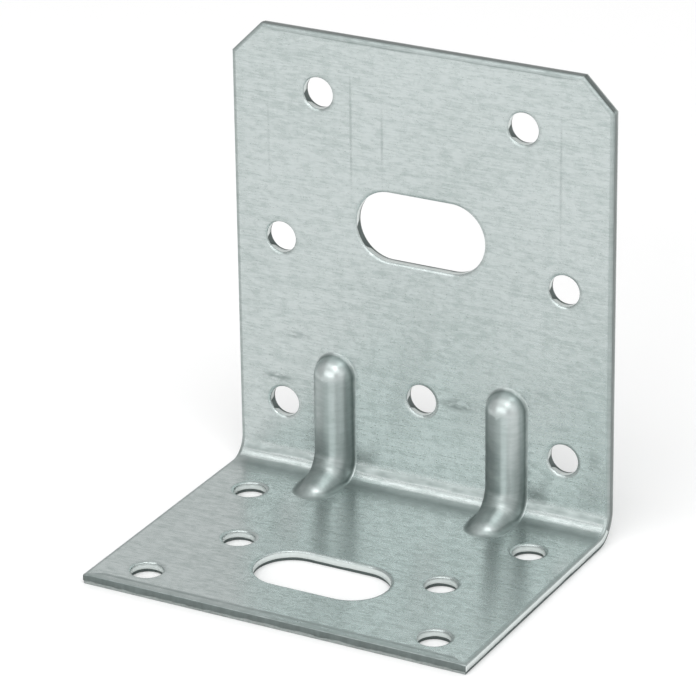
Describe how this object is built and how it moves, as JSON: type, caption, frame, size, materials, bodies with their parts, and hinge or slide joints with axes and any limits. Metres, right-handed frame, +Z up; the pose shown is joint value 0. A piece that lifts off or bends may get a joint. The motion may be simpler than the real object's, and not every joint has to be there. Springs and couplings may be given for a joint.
{
  "type": "angle bracket",
  "caption": "Right-angle bracket folded from galvanised sheet, with nail holes and a bolt slot in each leg and ribs pressed inwards across the fold.",
  "frame": {"origin": "middle of the footprint, on the plane of the base leg's underside", "axes": "+X across the width, +Y out of the wall leg's back face, +Z up along the wall leg; the base leg lies towards -Y"},
  "size_m": [0.065, 0.0504, 0.0753],
  "materials": {
    "galvanised_sheet": "galvanised, semi-matt"
  },
  "bodies": {
    "root": {"angle_bracket": "galvanised_sheet"}
  },
  "joints": []
}
